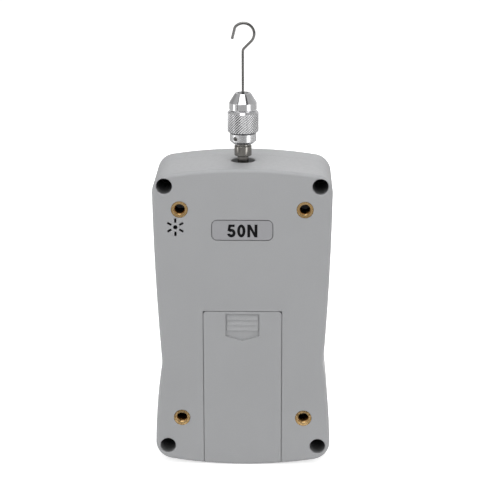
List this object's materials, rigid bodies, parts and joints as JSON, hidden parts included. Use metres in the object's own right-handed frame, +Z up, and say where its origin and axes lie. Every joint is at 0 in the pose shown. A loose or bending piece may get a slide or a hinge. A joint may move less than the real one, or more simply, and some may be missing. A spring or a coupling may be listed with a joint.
{
  "type": "digital force gauge",
  "caption": "Handheld force gauge with waisted housing, stand inserts, sliding battery door, display side with keys, and a collet chuck with wire hook on its shaft.",
  "frame": {"origin": "centre of the rectangle of four stand inserts, on the back face", "axes": "+Z up along the measuring shaft, +Y from the back face to the display side, +X to the right seen from behind"},
  "size_m": [0.072, 0.0395, 0.1826],
  "materials": {
    "case_grey": "fine spark-eroded texture on grey ABS",
    "black_steel": "black oxide",
    "brass": "machined",
    "label_grey": "printed matt film",
    "cell_can": "plain printed sleeve over a metal can",
    "spring_steel": "nickel-plated wire",
    "contact_nickel": "nickel-plated sheet",
    "lead_sleeve": "PVC-sleeved stranded wire",
    "beam_aluminium": "milled",
    "gauge_foil": "polyimide foil",
    "bracket_steel": "zinc-plated sheet",
    "zinc_steel": "zinc-plated",
    "shaft_nickel": "turned, dark nickel-plated",
    "chuck_metal": "turned and knurled, satin",
    "collet_steel": "hardened steel",
    "wire_steel": "drawn stainless wire",
    "window_clear": "clear acrylic with a dark printed border",
    "display_glass": "reflective display glass",
    "board_green": "green solder resist",
    "buzzer_black": "black plastic",
    "switch_black": "black plastic",
    "key_plastic": "satin moulded plastic"
  },
  "bodies": {
    "case": {"rear_case": "case_grey", "front_case": "case_grey", "case_screws": "black_steel", "brass_inserts": "brass", "range_label": "label_grey", "battery_cell_left": "cell_can", "battery_cell_right": "cell_can", "battery_springs": "spring_steel", "battery_contacts": "contact_nickel", "battery_leads": "lead_sleeve", "cell_lead": "lead_sleeve", "load_cell": "beam_aluminium", "strain_gauges": "gauge_foil", "cell_bracket": "bracket_steel", "bracket_screws": "zinc_steel", "beam_screws": "zinc_steel", "display_window": "window_clear", "lcd_module": "display_glass", "main_board": "board_green", "board_screws": "zinc_steel", "buzzer": "buzzer_black", "tact_switches": "switch_black"},
    "cover": {"battery_cover": "case_grey"},
    "shaft": {"sensor_shaft": "shaft_nickel", "shaft_nut": "zinc_steel", "chuck_body": "chuck_metal"},
    "collet": {"collet": "collet_steel", "hook": "wire_steel"},
    "nose": {"chuck_nose": "chuck_metal"},
    "key_power": {"key_power": "key_plastic"},
    "key_unit": {"key_unit": "key_plastic"},
    "key_peak": {"key_peak": "key_plastic"},
    "key_down": {"key_down": "key_plastic"},
    "key_zero": {"key_zero": "key_plastic"},
    "key_up": {"key_up": "key_plastic"}
  },
  "joints": [
    {"name": "shaft_travel", "type": "slide", "parent": "case", "child": "shaft", "axis": [0, 0, 1], "range_m": [-0.0003, 0.0003], "stiffness_N_per_m": 8000},
    {"name": "collet_lift", "type": "slide", "parent": "shaft", "child": "collet", "axis": [0, 0, 1], "range_m": [0, 0.0015]},
    {"name": "nose_turn", "type": "hinge", "parent": "collet", "child": "nose", "pos_m": [0, 0.016, 0.085], "axis": [0, 0, 1], "range_deg": [0, 720]},
    {"name": "cover_slide", "type": "slide", "parent": "case", "child": "cover", "axis": [0, 0, -1], "range_m": [0, 0.07]},
    {"name": "key_power_press", "type": "slide", "parent": "case", "child": "key_power", "axis": [0, -1, 0], "range_m": [0, 0.0006], "stiffness_N_per_m": 400, "springref_m": -0.0004},
    {"name": "key_unit_press", "type": "slide", "parent": "case", "child": "key_unit", "axis": [0, -1, 0], "range_m": [0, 0.0006], "stiffness_N_per_m": 400, "springref_m": -0.0004},
    {"name": "key_peak_press", "type": "slide", "parent": "case", "child": "key_peak", "axis": [0, -1, 0], "range_m": [0, 0.0006], "stiffness_N_per_m": 400, "springref_m": -0.0004},
    {"name": "key_down_press", "type": "slide", "parent": "case", "child": "key_down", "axis": [0, -1, 0], "range_m": [0, 0.0006], "stiffness_N_per_m": 400, "springref_m": -0.0004},
    {"name": "key_zero_press", "type": "slide", "parent": "case", "child": "key_zero", "axis": [0, -1, 0], "range_m": [0, 0.0006], "stiffness_N_per_m": 400, "springref_m": -0.0004},
    {"name": "key_up_press", "type": "slide", "parent": "case", "child": "key_up", "axis": [0, -1, 0], "range_m": [0, 0.0006], "stiffness_N_per_m": 400, "springref_m": -0.0004}
  ],
  "couplings": [
    {"joint": "nose_turn", "follows": "collet_lift", "rad_per_m": 8377.6}
  ]
}
